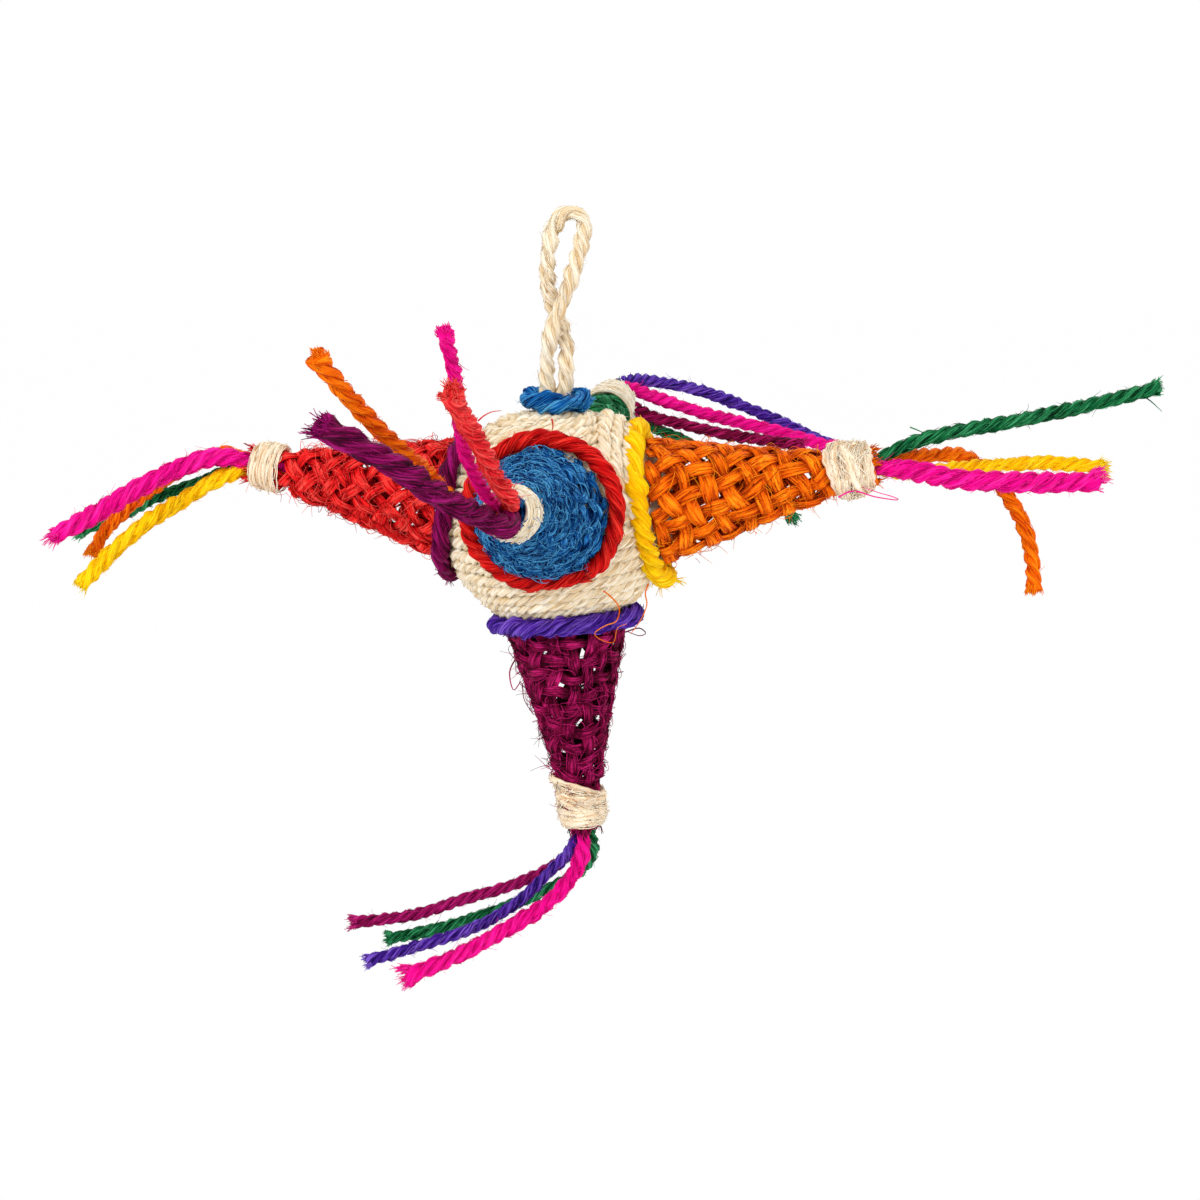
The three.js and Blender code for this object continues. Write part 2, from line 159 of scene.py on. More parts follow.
class Thread:
    """A node output of a finish. Arithmetic on it adds Math nodes, and node() adds any other node."""

    def __init__(self, tree, out=None):
        self.tree, self.out = tree, out

    def node(self, kind, settings=(), sockets=(), output=0):
        """Node of a kind: its settings, a ramp's stops among them, then its sockets' values or links."""
        made = self.tree.nodes.new(kind)
        for key, value in dict(settings).items():
            if key == "stops":
                ramp = made.color_ramp.elements
                while len(ramp) < len(value):
                    ramp.new(0.5)
                for element, (place, colour) in zip(ramp, value):
                    element.position, element.color = place, colour
            else:
                setattr(made, key, value)
        for key, value in dict(sockets).items():
            if isinstance(value, Thread):
                self.tree.links.new(value.out, made.inputs[key])
            else:
                made.inputs[key].default_value = value
        return Thread(self.tree, made.outputs[output] if made.outputs else None)

    def maths(self, operation, first, second):
        """Math node on two values, either of them a thread or a number."""
        return self.node("ShaderNodeMath", {"operation": operation}, {0: first, 1: second})

    def __add__(self, other):
        return self.maths("ADD", self, other)

    def __sub__(self, other):
        return self.maths("SUBTRACT", self, other)

    def __rsub__(self, other):
        return self.maths("SUBTRACT", other, self)

    def __mul__(self, other):
        return self.maths("MULTIPLY", self, other)

    __radd__, __rmul__ = __add__, __mul__


def srgb(red, green, blue):
    """Linear colour of an sRGB triple in 0 to 255: c / 12.92 in the darks, else ((c + 0.055) / 1.055)^2.4."""
    c = np.array([red, green, blue]) / 255
    c = np.where(c < 0.04045, c / 12.92, ((c + 0.055) / 1.055) ** 2.4)
    return (*np.clip(c, 0, 1).tolist(), 1.0)


def sisal(name, deep, body, bright):
    """Sisal fibre. Noise drawn out along the fibre map, whose units are millimetres, picks each fibre's shade
    from deep through body to bright, and a broader noise shifts whole strands. A per-point attribute adds
    painted shade in the grooves between plies, where strands pass under others and at strand edges, and also
    each fibre's own random tone. The fine noise also raises the fibres and roughens them."""
    finish = bpy.data.materials.new(name)
    finish.use_nodes = True
    tree = finish.node_tree
    tree.nodes.clear()
    start = Thread(tree)
    place = start.node("ShaderNodeUVMap", {"uv_map": "fibre"})

    def streaks(length, width, detail):
        """Noise drawn out into streaks of about this length and width, in millimetres."""
        scaled = start.node("ShaderNodeVectorMath", {"operation": "MULTIPLY"},
                            {0: place, 1: (1 / length, 1 / width, 0)})
        return start.node("ShaderNodeTexNoise", {"noise_dimensions": "2D"},
                          {"Vector": scaled, "Scale": 1.0, "Detail": detail, "Roughness": 0.6})

    fine = streaks(length=5.0, width=0.28, detail=3.0)
    broad = streaks(length=14.0, width=1.6, detail=1.0)
    hollow = start.node("ShaderNodeAttribute", {"attribute_name": "hollow"}, output="Fac")
    # Painted shade: the per-point attribute darkens grooves, strands passing under others and strand edges;
    # it also carries each fibre's random tone, above nought darker, below lighter
    shade = fine * 0.9 + broad * 0.4 - hollow * 0.2 - 0.13
    stops = [(0.32, srgb(*deep)), (0.5, srgb(*body)), (0.7, srgb(*bright))]
    ramp = start.node("ShaderNodeValToRGB", {"stops": stops}, {"Fac": shade})
    bump = start.node("ShaderNodeBump", {}, {"Strength": 0.6, "Distance": 0.2 * MM, "Height": fine})
    shader = start.node("ShaderNodeBsdfPrincipled", {}, {
        "Base Color": ramp, "Roughness": fine * 0.3 + 0.45, "Normal": bump, "Specular IOR Level": 0.05})
    start.node("ShaderNodeOutputMaterial", {}, {"Surface": shader})
    return finish


SISAL = {
    "natural_twine": sisal("natural_twine", (216, 182, 130), (240, 225, 196), (250, 243, 228)),
    "raw_fibre": sisal("raw_fibre", (206, 158, 108), (238, 213, 178), (252, 241, 220)),
    "ball_core": sisal("ball_core", (170, 128, 80), (212, 176, 126), (234, 206, 160)),
    "red": sisal("sisal_red", (144, 0, 6), (244, 26, 28), (252, 88, 78)),
    "scarlet": sisal("sisal_scarlet", (112, 0, 4), (208, 8, 10), (240, 60, 46)),
    "blue": sisal("sisal_blue", (0, 22, 72), (0, 88, 162), (86, 170, 222)),
    "orange": sisal("sisal_orange", (150, 40, 0), (240, 98, 0), (255, 148, 20)),
    "tangerine": sisal("sisal_tangerine", (186, 56, 0), (243, 104, 0), (255, 146, 16)),
    "yellow": sisal("sisal_yellow", (232, 158, 0), (252, 200, 0), (255, 222, 36)),
    "magenta": sisal("sisal_magenta", (182, 0, 100), (242, 0, 142), (255, 50, 172)),
    "pink": sisal("sisal_pink", (184, 0, 98), (238, 0, 138), (252, 40, 162)),
    "plum": sisal("sisal_plum", (34, 0, 22), (106, 0, 60), (168, 22, 116)),
    "wine": sisal("sisal_wine", (36, 0, 10), (114, 0, 50), (190, 30, 106)),
    "raspberry": sisal("sisal_raspberry", (72, 0, 34), (146, 4, 82), (198, 40, 126)),
    "violet": sisal("sisal_violet", (26, 8, 78), (72, 30, 150), (132, 96, 206)),
    "green": sisal("sisal_green", (0, 28, 12), (6, 96, 50), (66, 160, 106)),
    "coral": sisal("sisal_coral", (160, 4, 14), (234, 36, 44), (248, 96, 88)),
}

# Cords whose shade isn't their dye's first one
CORD_SHADE = {"orange": "tangerine", ("back", "plum"): "wine", ("bottom", "plum"): "raspberry"}


def unit(v):
    """Vectors of the same directions and of length 1."""
    return v / np.linalg.norm(v, axis=-1, keepdims=True)


def lengths(line):
    """Distance along a line at each of its points."""
    return np.concatenate([[0], np.cumsum(np.linalg.norm(np.diff(line, axis=0), axis=1))])


def evenly(line, step):
    """The same line with points an equal distance apart, as near to step as its length allows."""
    s = lengths(line)
    spots = np.linspace(0, s[-1], int(round(s[-1] / step)) + 1)
    return np.stack([np.interp(spots, s, column) for column in line.T], axis=1)


def smooth_line(points, step):
    """Centripetal Catmull-Rom curve through the points. Knots are spaced by the root of the distance, the
    slope at a point weighs its two chords, and a cubic Hermite piece joins each pair."""
    p = np.asarray(points, float)
    q = np.vstack([2 * p[0] - p[1], p, 2 * p[-1] - p[-2]])
    a, b, c, d = (q[i:len(q) - 3 + i, None] for i in range(4))
    ab, bc, cd = (np.sqrt(np.linalg.norm(y - x, axis=-1, keepdims=True)) for x, y in ((a, b), (b, c), (c, d)))
    leave = ((b - a) / ab - (c - a) / (ab + bc) + (c - b) / bc) * bc
    reach = ((c - b) / bc - (d - b) / (bc + cd) + (d - c) / cd) * bc
    t = np.linspace(0, 1, SPAN_STEPS, endpoint=False)[None, :, None]
    line = ((2 * t**3 - 3 * t**2 + 1) * b + (t**3 - 2 * t**2 + t) * leave
            + (3 * t**2 - 2 * t**3) * c + (t**3 - t**2) * reach)
    return evenly(np.vstack([line.reshape(-1, 3), p[-1:]]), step)


def wander(s, spell, rng, rows=1):
    """Smooth random swing along a length: half the sum of four sines of random phase, whose wavelengths are
    0.6 to 1.7 times the spell."""
    waves = spell * rng.uniform(0.6, 1.7, (rows, 4, 1))
    return np.sin(TAU * s / waves + rng.uniform(0, TAU, (rows, 4, 1))).sum(axis=1) / 2


def least_lean(line):
    """Direction that a line's tangents lean to least: the last right singular vector of its steps."""
    return np.linalg.svd(np.diff(line, axis=0), full_matrices=False)[2][-1]


def around(axes, angle):
    """Directions square to a cone's axis, at angles from its downward side towards its sideways one."""
    return np.cos(angle)[..., None] * axes[0] + np.sin(angle)[..., None] * axes[1]


class Rope:
    """Left-handed laid cord as one closed surface. Its section has a lobe for each ply: at an angle a from a
    lobe's middle the radius is c cos a + sqrt(r² - c² sin² a), with c the lobe and r = 0.5 - c, in girths.
    The section turns once in each lay. Each ply swells and shrinks slowly along the cord, and its fibres turn
    back by a share of the lay, so that they lie closer to the cord's own line."""

    def __init__(self, line, out, girth, lay, rng, plies=3, rough=0.07, lobe=0.22, unlay=0.42):
        self.line, self.plies, self.rng, self.rough = line, plies, rng, rough
        self.lobe, self.coil, self.unlay = lobe, TAU / lay, unlay
        self.s = lengths(line)
        self.girth = np.broadcast_to(girth, self.s.shape)
        along = unit(np.gradient(line, axis=0))
        self.side = unit(out - (out * along).sum(1, keepdims=True) * along)
        self.flank = np.cross(along, self.side)
        self.twist = -self.coil * self.s + 0.25 * wander(self.s, 3 * lay, rng)[0]
        self.swell = 1 + rough * wander(self.s, PLY_SPELL, rng, plies)

    def at(self, ring, angle, lift=0.0, ridge=0.0):
        """Points at rings and angles of the turning section, and how deep in a groove each lies, 0 to 1."""
        step = TAU / self.plies

        def section(a):
            """Radius in girths at an angle from a lobe's middle."""
            return self.lobe * np.cos(a) + np.sqrt((0.5 - self.lobe) ** 2 - (self.lobe * np.sin(a)) ** 2)

        ply, reach = (angle // step).astype(int) % self.plies, section(angle % step - step / 2)
        radius = (reach * self.girth[ring] * self.swell[ply, ring] * (1 + ridge) + lift)[..., None]
        turn = (angle + self.twist[ring])[..., None]
        point = self.line[ring] + radius * (np.cos(turn) * self.side[ring] + np.sin(turn) * self.flank[ring])
        return point, (0.5 - reach) / (0.5 - section(step / 2)) + 0 * radius[..., 0]

    def lay_into(self, bundle, per_ply=8):
        """The surface itself, with short ridges on each line of corners: random heights a ridge's length
        apart, joined by straight lines."""
        sides, rings = per_ply * self.plies, np.arange(len(self.s))
        knot = self.s / RIDGE_LENGTH
        ridge = self.rng.normal(0, self.rough, (int(knot[-1] + 2) + 1, sides))
        left = knot.astype(int)
        share = (knot - left)[:, None]
        ridge = ridge[left] * (1 - share) + ridge[left + 1] * share
        corners, groove = self.at(rings[:, None], TAU * np.arange(sides)[None] / sides, ridge=ridge)
        slant = -self.unlay * self.coil * self.girth.mean() / 2
        # Painted shade: corners deep in a groove between plies are drawn darker
        bundle.add(corners[None], GROOVE_SHADE * groove[None], slant)

    def fibres(self, bundle, count, longest, lift, thick=0.12, outwards=False):
        """Fibres that lie on the plies: each turns back in the turning section as the plies' fibres do, with
        a small drift, and its ends stand off by lift (2t - 1)^4. With outwards they keep to the out side."""
        rng, t = self.rng, np.linspace(0, 1, FIBRE_POINTS)
        gap = self.s[1]
        span = longest * rng.uniform(0.4, 1, (count, 1)) / gap
        start = rng.uniform(0, 1, (count, 1)) * (len(self.s) - 1 - span)
        ring = np.round(start + span * t).astype(int)
        middle = ring[:, FIBRE_POINTS // 2, None]
        if outwards:
            angle = rng.uniform(-FACING, FACING, (count, 1)) - self.twist[middle]
        else:
            angle = rng.uniform(0, TAU, (count, 1))
        angle = angle + rng.normal(0, DRIFT, (count, 1)) * (t - 0.5)
        angle = angle + self.unlay * self.coil * gap * (ring - middle)
        off = 0.03 + lift * rng.uniform(0, 1, (count, 1)) ** 2 * (2 * t - 1) ** 4
        path, groove = self.at(ring, angle, off)
        # Random tone for each fibre, plus painted shade on those that lie deep in a groove
        shade = rng.normal(-0.1, 0.7, (count, 1)) + 0.35 * groove
        bundle.add(thin(path, thick, rng), shade[:, :, None])


def thin(path, thick, rng):
    """Three-cornered section carried along each path, its width falling to two fifths at the far end."""
    run = unit(np.gradient(path, axis=1))
    side = unit(np.cross(run, unit(rng.normal(size=(len(path), 1, 3)))))
    corner = TAU * np.arange(3)[:, None] / 3
    width = thick / 2 * np.linspace(1, 0.4, path.shape[1])[None, :, None, None]
    return path[:, :, None] + width * (np.cos(corner) * side[:, :, None]
                                       + np.sin(corner) * np.cross(run, side)[:, :, None])


def hairs(roots, heads, length, rng, curl, thick):
    """Loose fibres: root + L (t head + curl (t² a + 0.6 t³ b)) for t from 0 to 1, with a and b random
    directions."""
    t = np.linspace(0, 1, FIBRE_POINTS)[None, :, None]
    a, b = unit(rng.normal(size=(2, len(roots), 1, 3)))
    path = roots[:, None] + length[:, None, None] * (t * heads[:, None] + curl * (t**2 * a + 0.6 * t**3 * b))
    return thin(path, thick, rng)


class Bundle:
    """Tubes that make one piece, each batch an array of corners [tube, ring, corner]."""

    def __init__(self, seed):
        self.rng, self.batches = np.random.default_rng(seed), []

    def add(self, corners, hollow=0.0, slant=0.0):
        """Takes a batch, its painted shade and random tone at each corner (above nought darker, below
        lighter), and how its fibres slant on the fibre map.
        """
        self.batches.append((corners, hollow, slant))

    @staticmethod
    def measured(corners):
        """Middle of each ring, gap from each ring to the next, and mean girth of a batch."""
        centre = corners.mean(axis=2)
        gap = np.linalg.norm(np.diff(centre, axis=1), axis=-1) + LEAST_GAP
        girth = np.linalg.norm(np.roll(corners, -1, axis=2) - corners, axis=-1).sum(2).mean()
        return centre, gap, girth

    def faces(self, corners, slant, first, area):
        """Quads between neighbouring rings and a polygon on both ends, each with its place on the fibre map,
        length along the tube by girth round it, and on the bake map, strips of equal height laid in rows."""
        tubes, rings, sides, _ = corners.shape
        index = first + np.arange(tubes * rings * sides).reshape(tubes, rings, sides)
        centre, gap, girth = self.measured(corners)
        along = np.concatenate([np.zeros((tubes, 1)), np.cumsum(gap, axis=1)], axis=1)
        shift = self.rng.uniform(0, MAP_SPAN, (2, tubes, 1, 1))
        j = np.arange(sides + 1) / sides
        fibre = np.stack(np.broadcast_arrays(
            along[:, :, None] + shift[0], girth * j + slant * along[:, :, None] + shift[1]), axis=-1)
        reach = self.used + np.concatenate([[0], np.cumsum(gap * girth)[:-1]]).reshape(gap.shape)
        self.used += (gap * girth).sum()
        row = np.floor(reach / area * self.rows)
        low = (reach / area * self.rows - row) / self.stretch
        high = low + gap * girth / area * self.rows / self.stretch
        up = (row[:, :, None] + STRIP_MARGIN + STRIP_FILL * j) / self.rows

        def ring_pair(values):
            """Values at the four corners of each quad between a ring and the next."""
            return np.stack([values[:, :-1, :-1], values[:, :-1, 1:], values[:, 1:, 1:], values[:, 1:, :-1]],
                            axis=3)

        corner_of = ring_pair(np.concatenate([index, index[:, :, :1]], axis=2))
        fibre = ring_pair(fibre)
        left, right = np.broadcast_arrays(low[:, :, None], high[:, :, None] + 0 * up[:, :, :-1])
        bake = np.stack([np.stack([left, left, right, right], -1),
                         np.stack([up[:, :, :-1], up[:, :, 1:], up[:, :, 1:], up[:, :, :-1]], -1)], -1)
        ends = np.stack([index[:, 0, ::-1], index[:, -1]], axis=1)
        round_it = TAU * np.arange(sides) / sides
        disc = np.stack([0.5 + 0.5 * np.cos(round_it), 0.5 + 0.5 * np.sin(round_it)], -1)
        end_fibre = np.broadcast_to(shift[:, :, 0, 0].T[:, None, None] + disc, (tubes, 2, sides, 2))
        cell = np.stack([np.stack([low[:, [0, -1]], up[:, [0, -1], 0]], -1),
                         np.stack([high[:, [0, -1]], up[:, [0, -1], -1]], -1)])
        end_bake = cell[0][:, :, None] + disc * (cell[1] - cell[0])[:, :, None]
        turned = np.cross(np.roll(corners, -1, axis=2)[:, :-1] - corners[:, :-1],
                          corners[:, 1:] - corners[:, :-1])
        flip = (turned * (corners - centre[:, :, None])[:, :-1]).sum(axis=(1, 2, 3)) < 0
        for array in (corner_of, fibre, bake):
            array[flip] = array[flip][:, :, :, ::-1]
        ends[flip] = ends[flip][:, :, ::-1]
        return (np.concatenate([corner_of.ravel(), ends.ravel()]),
                np.concatenate([fibre.reshape(-1, 2), end_fibre.reshape(-1, 2)]),
                np.concatenate([bake.reshape(-1, 2), end_bake.reshape(-1, 2)]),
                np.concatenate([np.full(corner_of.size // 4, 4), np.full(2 * tubes, sides)]))

    def piece(self, name, dye, replaced=()):
        """One object of all the batches, with its two maps, its per-point painted shade and random tone, and
        its dye. The bake map has as many rows as make its strips about as high as the first batch's girth."""
        sizes = []
        for corners, *_ in self.batches:
            _, gap, girth = self.measured(corners)
            sizes.append((gap.sum() * girth, girth, gap.max() * girth))
        area = sum(size[0] for size in sizes) * STRIP_ROOM
        self.rows = max(1, int(round(np.sqrt(area) / sizes[0][1])))
        self.stretch = 1 + max(size[2] for size in sizes) / area * self.rows
        self.used = 0.0
        built, points, tones_and_painted_shades, first = [], [], [], 0
        for corners, hollow, slant in self.batches:
            built.append(self.faces(corners, slant, first, area))
            points.append(corners.reshape(-1, 3))
            tones_and_painted_shades.append(np.broadcast_to(hollow, corners.shape[:3]).ravel())
            first += corners[..., 0].size
        points = np.concatenate(points) * MM
        loops, fibre, bake, totals = (np.concatenate(part) for part in zip(*built))
        mesh = bpy.data.meshes.new(name)
        mesh.vertices.add(len(points))
        mesh.vertices.foreach_set("co", points.astype(np.float32).ravel())
        mesh.loops.add(len(loops))
        mesh.loops.foreach_set("vertex_index", loops.astype(np.int32))
        mesh.polygons.add(len(totals))
        mesh.polygons.foreach_set("loop_start", (np.cumsum(totals) - totals).astype(np.int32))
        mesh.polygons.foreach_set("use_smooth", np.ones(len(totals), bool))
        mesh.uv_layers.new(name="fibre").data.foreach_set("uv", fibre.astype(np.float32).ravel())
        mesh.uv_layers.new(name="OFBake").data.foreach_set("uv", bake.astype(np.float32).ravel())
        shade = mesh.attributes.new("hollow", "FLOAT", "POINT")
        shade.data.foreach_set("value", np.concatenate(tones_and_painted_shades).astype(np.float32))
        mesh.update(calc_edges=True)
        mesh.materials.append(SISAL[dye])
        made = bpy.data.objects.new(name, mesh)
        bpy.context.scene.collection.objects.link(made)
        if replaced:
            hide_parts(*replaced)
        return made


def tip_axes(heading, rise):
    """Rows are a cone's downward, sideways and outward directions for its heading and rise."""
    h, r = np.radians([heading, rise])
    return np.array([[np.cos(h) * np.sin(r), np.sin(h) * np.sin(r), -np.cos(r)],
                     [-np.sin(h), np.cos(h), 0],
                     [np.cos(h) * np.cos(r), np.sin(h) * np.cos(r), np.sin(r)]])


def cut_end(bundle, line, girth, count, spread, longest):
    """Cut end: tufts of stout fibres rooted all over the last section, most of them short, leaning outwards
    from its middle. A tuft's fibres share its place, lean and length but for a little."""
    rng, tufts = bundle.rng, count // TUFT
    sunk, rim, shortest = 0.7, 0.4, 0.9
    tuft = np.arange(count) % tufts
    ahead = unit(line[-1] - line[-4])
    side = unit(np.cross(ahead, ASKEW))
    angle, share = rng.uniform(0, TAU, tufts)[tuft], np.sqrt(rng.uniform(0, 1, tufts))[tuft]
    out = np.cos(angle)[:, None] * side + np.sin(angle)[:, None] * np.cross(ahead, side)
    roots = line[-1] - sunk * ahead + out * (share * rim * girth)[:, None] + rng.normal(0, 0.13, (count, 3))
    lean = rng.normal(0, 0.16, (tufts, 3))[tuft] + rng.normal(0, 0.06, (count, 3))
    heads = unit(ahead + out * (share * spread)[:, None] + lean)
    length = shortest + 0.9 * longest * rng.uniform(0, 1, tufts)[tuft] ** 2
    length = length * rng.uniform(0.7, 1, count)
    # Cut-end fibres are drawn lighter, painted light for the light that scatters through the cut fibres, with
    # random tone
    bundle.add(hairs(roots, heads, length, rng, curl=0.22, thick=0.24), rng.normal(-0.8, 0.6, (count, 1, 1)))


def stray_fibres(bundle, line, girth, count, longest, curl=0.35):
    """Fibres that leave the cord at a slant: rooted on its surface clear of its ends, heading along it one
    way or the other and a little outwards."""
    rng = bundle.rng
    clear_start, clear_end = 30, 8
    at = rng.integers(clear_start, len(line) - clear_end, count)
    ahead = unit(line[at + 3] - line[at]) * rng.choice([-1, 1], (count, 1))
    out = unit(np.cross(ahead, rng.normal(size=(count, 3))))
    heads = unit(ahead + out * rng.uniform(0.05, 0.6, (count, 1)))
    length = longest * rng.uniform(0.2, 1, count)
    roots = line[at] + out * 0.42 * girth
    # Stray fibres are drawn lighter on the whole, a painted highlight on the fuzz, with random tone
    bundle.add(hairs(roots, heads, length, rng, curl, thick=0.11), rng.normal(-0.5, 0.6, (count, 1, 1)))


def tassel_cord(tip, axes, number, dye, girth, look, root, points):
    """One tassel cord: held in the neck, swelling past the mouth from 0.55 of its width to the whole, then
    free along its smooth line. Over its end the width grows by the flare times the squared share."""
    bundle = Bundle(100 + number)
    fuller, flare, fray, lay = look
    mouth = BALL + TIP_REACH * axes[2]
    held = ROOT_OFFSET * np.array([np.cos(np.radians(root)), np.sin(np.radians(root)), 0])
    local = np.vstack([held - [0, 0, ROOT_DEPTH], held - [0, 0, ROOT_DEPTH / 2], held, points])
    line = mouth + smooth_line(local, CORD_STEP) @ axes
    s = lengths(line)
    swell = np.clip((s - ROOT_DEPTH + SWELL_LEAD) / SWELL_LENGTH, 0, 1)
    loose = np.clip((s - s[-1] + END_LENGTH) / END_LENGTH, 0, 1)
    width = girth * fuller * (0.55 + 0.45 * swell) * (1 + flare * loose**2)
    width = width * (1 + 0.04 * wander(s, 11, bundle.rng)[0])
    cord = Rope(line, least_lean(line), width, lay * girth, bundle.rng)
    cord.lay_into(bundle)
    cord.fibres(bundle, count=int(s[-1] * girth * 2.2), longest=1.7 * girth, lift=0.3)
    cut_end(bundle, line, width[-1], int(15 + 8 * fray) * TUFT, spread=0.35, longest=fray)
    stray_fibres(bundle, line, width[-PLAIN_POINTS], count=int(30 + 45 * fray), longest=2.4 - 0.5 * fray,
                 curl=0.2 + 0.3 * fray)
    shade = CORD_SHADE.get((tip, dye)) or CORD_SHADE.get(dye, dye)
    made = bundle.piece(f"tassel_{tip}_{dye}", shade, [f"cord_{tip}_{dye}"])
    "tassel_" + tip
    mouth * MM
    (mouth + 9 * axes[2]) * MM
    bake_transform(made)
    (mouth + held @ axes) * MM
    girth * MM
    line * MM


def hanging_loop():
    """Loop of soft twine: down both legs into the ball, crossing once above it."""
    bundle = Bundle(7)
    legs = np.array([[LEG_OFFSET, 0, -LEG_DEPTH], [LEG_OFFSET, 0, -LEG_DEPTH / 2], [LEG_OFFSET, 0, 0]])
    line = BALL_TOP + smooth_line(np.vstack([legs, LOOP_LINE, legs[::-1] * [-1, 1, 1]]), CORD_STEP)
    s = lengths(line)
    width = LOOP_TWINE * (1.06 + 0.07 * wander(s, 9, bundle.rng)[0])
    twine = Rope(line, np.array([0.0, 1, 0]), width, lay=8.4, rng=bundle.rng, rough=0.1, lobe=0.24,
                 unlay=0.35)
    twine.lay_into(bundle)
    twine.fibres(bundle, count=420, longest=4.0, lift=0.35, thick=0.14)
    stray_fibres(bundle, line, LOOP_TWINE, count=70, longest=2.0)
    made = bundle.piece("hanging_loop_twine", "natural_twine", ["hanging_loop"])
    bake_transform(made)


def stand(name, data, across, up, back, place):
    """Camera or lamp at a place in metres, looking away from its back direction."""
    made = bpy.data.objects.new(name, data)
    turn = np.stack([across, up, back], 1)
    made.matrix_world = Matrix([[*row, p] for row, p in zip(turn, place)] + [[0, 0, 0, 1]])
    bpy.context.scene.collection.objects.link(made)
    return made


def photo_camera():
    """Camera at the photograph's angle. It stands back from the ball's middle along the line of sight of the
    pixel that the middle falls on."""
    turn, rise = np.radians([CAMERA_ROUND, CAMERA_ABOVE])
    forward = np.array([-np.sin(turn) * np.cos(rise), np.cos(turn) * np.cos(rise), -np.sin(rise)])
    right = np.array([np.cos(turn), np.sin(turn), 0])
    up = np.cross(right, forward)
    sight = (forward + (BALL_ACROSS - PICTURE_MIDDLE) / FOCAL * right
             + (PICTURE_MIDDLE - BALL_DOWN) / FOCAL * up)
    lens = bpy.data.cameras.new("photo_camera")
    lens.sensor_width, lens.lens = SENSOR, SENSOR * FOCAL / PICTURE
    lens.clip_start, lens.clip_end = 0.01, 20
    eye = (BALL - CAMERA_DISTANCE * sight) * MM
    bpy.context.scene.camera = stand("photo_camera", lens, right, up, -forward, eye)


def pressed(rise):
    """How far the ball lies in from a true sphere, for the upward share of unit directions: most at the top,
    under the collar, falling with the sixth power."""
    return TOP_PRESS * np.clip(rise, 0, 1) ** 6


def wound_ball():
    """Twine wound on the ball: the line's direction sinks by one row in each turn, and the winding's axis
    leans so that the rows climb to the right. Three more rows follow the right cone's ring over the shoulder:
    circles at growing angles from that cone's axis, sinking into the ball at both ends."""
    bundle, fuzz = Bundle(3), Bundle(5)
    radius, row, lean = BALL_RADIUS - BALL_TWINE / 2, 1.95, np.radians(8)
    top_gap, bottom_gap, turn_length = 0.13, 0.06, 12
    polar = np.linspace(top_gap, np.pi - bottom_gap, 60000)
    turn = TAU * polar * radius / row
    polar = polar + 0.16 / radius * wander(turn * turn_length, 60, bundle.rng)[0]
    x, y, z = np.sin(polar) * np.cos(turn), np.sin(polar) * np.sin(turn), np.cos(polar)
    line = np.stack([x * np.cos(lean) - z * np.sin(lean), y, z * np.cos(lean) + x * np.sin(lean)], 1) * radius
    line = evenly(line, 0.5)
    out = unit(line)
    line = line - out * pressed(out[:, 2:]) + out * 0.1 * wander(lengths(line), 25, bundle.rng)[0][:, None]
    twine = Rope(BALL + line, out, BALL_TWINE * 1.06, lay=5.2, rng=bundle.rng, rough=0.09, lobe=0.2)
    twine.lay_into(bundle, per_ply=5)
    twine.fibres(fuzz, count=2600, longest=2.6, lift=0.5, thick=0.13, outwards=True)

    axes = tip_axes(*SPIKES["right"][:2])
    share = np.linspace(0, 1, 600)
    sink = np.clip(1 - 7 * np.minimum(share, 1 - share), 0, 1)[:, None]
    for order, spread in enumerate((41.0, 47.0, 53.0)):
        from_angle, sweep = -200 + 4 * order, 118 - 10 * order
        out = (np.cos(np.radians(spread)) * axes[2]
               + np.sin(np.radians(spread)) * around(axes, np.radians(from_angle + sweep * share)))
        line = evenly(out * (radius + 0.75 - 1.7 * sink**2), 0.4)
        over = Rope(BALL + line, unit(line), BALL_TWINE * 1.15, lay=5.6, rng=bundle.rng, rough=0.11)
        over.lay_into(bundle, per_ply=6)
        over.fibres(fuzz, count=70, longest=2.6, lift=0.5, thick=0.13, outwards=True)
    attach(bundle.piece("ball_twine", "natural_twine", ["ball_winding"]), "star")
    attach(fuzz.piece("ball_fuzz", "natural_twine"), "star")


def wadded_core():
    """Core under the twine: a sphere as one tube from pole to pole, pressed in as the twine is. Its radius
    swells with the sine of nine polar angles, shifted by a sine of five times the angle round it."""
    bundle = Bundle(4)
    wad_radius, lump, pole_gap = 15.6, 0.12, 0.02
    polar = np.linspace(pole_gap, np.pi - pole_gap, 60)[:, None]
    angle = np.linspace(0, TAU, 72, endpoint=False)
    radius = wad_radius + lump * np.sin(9 * polar + 3 * np.sin(5 * angle)) * np.sin(polar)
    radius = radius - pressed(np.cos(polar))
    corners = np.stack([radius * np.sin(polar) * np.cos(angle), radius * np.sin(polar) * np.sin(angle),
                        radius * np.cos(polar) + 0 * angle], -1)
    bundle.add(BALL + corners[None])
    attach(bundle.piece("ball_wad", "ball_core", ["core_ball"]), "star")


